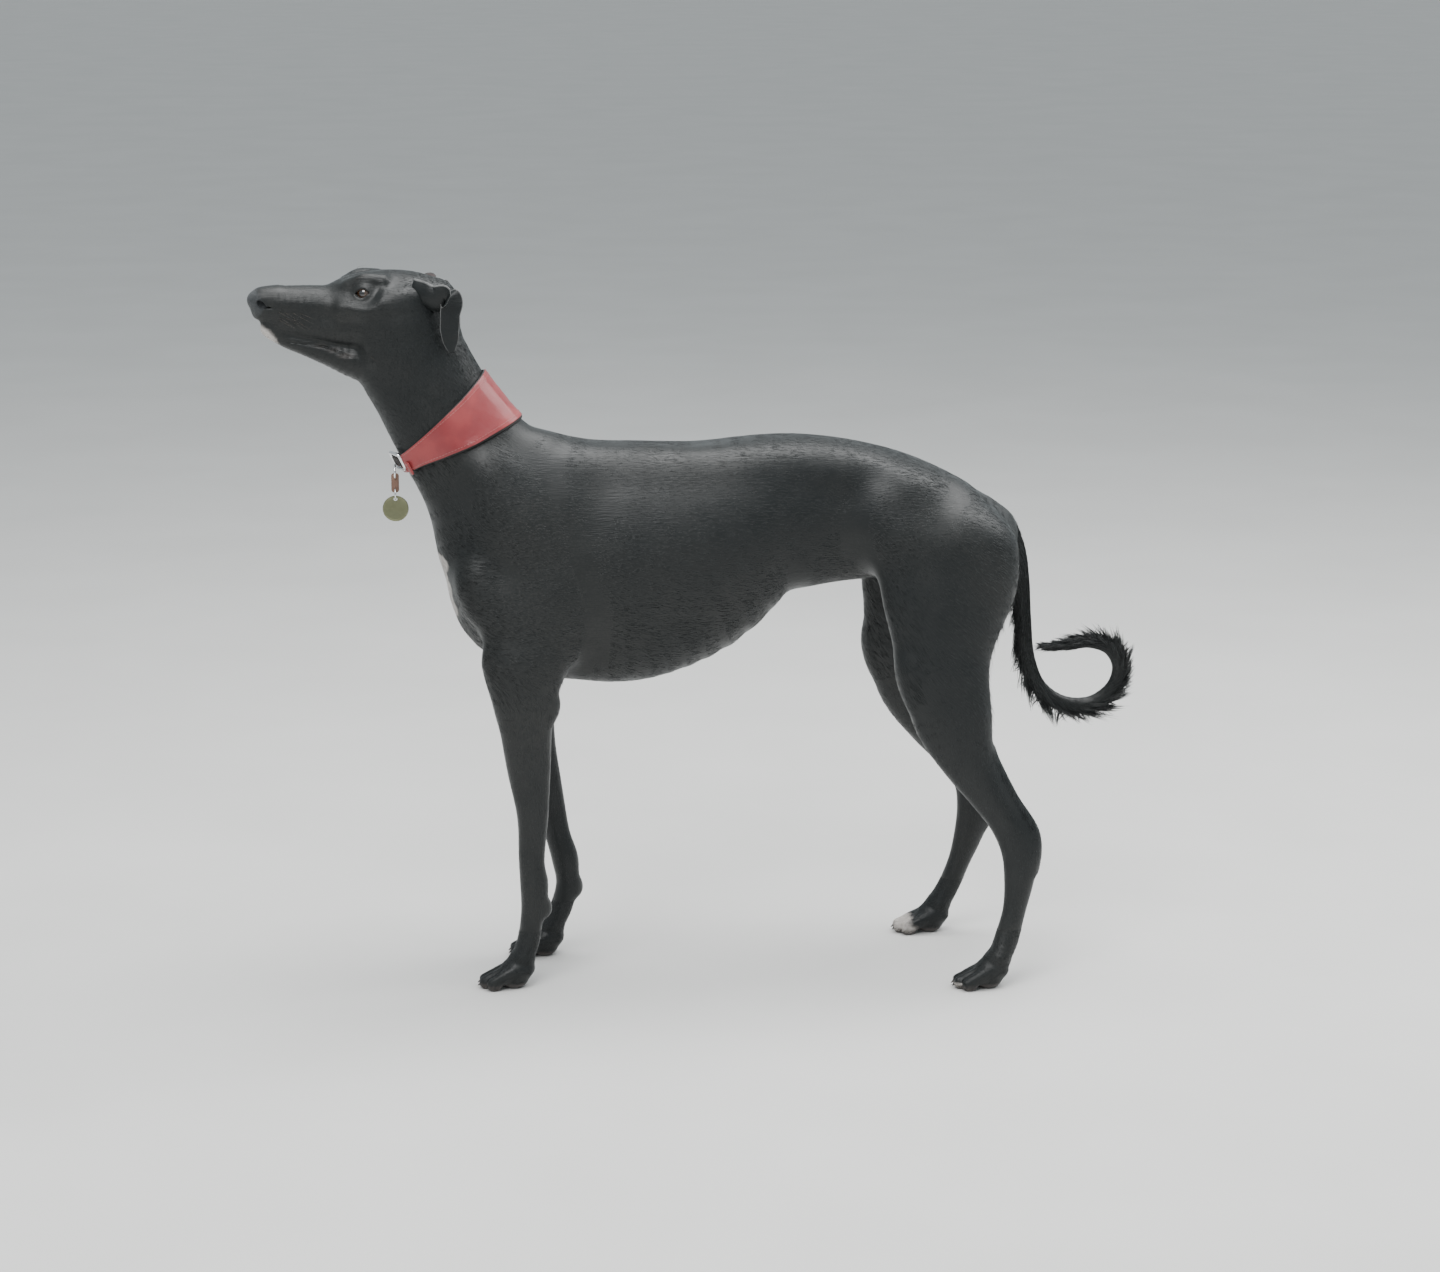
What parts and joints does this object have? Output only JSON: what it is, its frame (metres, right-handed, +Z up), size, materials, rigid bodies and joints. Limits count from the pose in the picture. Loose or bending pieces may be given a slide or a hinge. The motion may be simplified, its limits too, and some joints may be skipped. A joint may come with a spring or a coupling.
{
  "type": "greyhound",
  "caption": "Still life-size model of a standing black greyhound with folded rose ears, a curled tail, a broad red leather collar and a bare round name tag.",
  "frame": {"origin": "middle of the bounding box in plan, on the floor under the paws", "axes": "+Z up, -X the way the dog faces, -Y its left side, which the picture shows"},
  "size_m": [1.1086, 0.2744, 0.9039],
  "materials": {
    "coat": "short glossy black hair, white on the breast, chin and one hind foot",
    "eye": "wet and dark brown",
    "red_leather": "smooth satin red leather with dark stitching",
    "tan_leather": "matt flesh side of leather",
    "steel": "polished",
    "tag_metal": "polished, finely scratched"
  },
  "bodies": {
    "root": {"torso": "coat", "neck": "coat", "head": "coat", "left_ear": "coat", "right_ear": "coat", "left_foreleg": "coat", "right_foreleg": "coat", "left_forepaw": "coat", "right_forepaw": "coat", "left_thigh": "coat", "right_thigh": "coat", "left_shank": "coat", "right_shank": "coat", "left_rear_pastern": "coat", "right_rear_pastern": "coat", "left_hindpaw": "coat", "right_hindpaw": "coat", "tail_root": "coat", "tail_middle": "coat", "tail_curl": "coat", "tail_tip": "coat", "left_eye": "eye", "right_eye": "eye", "collar_strap": "red_leather", "collar_keeper": "red_leather", "collar_tab": "tan_leather", "collar_buckle": "steel", "collar_ring": "steel", "tag_ring": "steel", "name_tag": "tag_metal"}
  },
  "joints": []
}
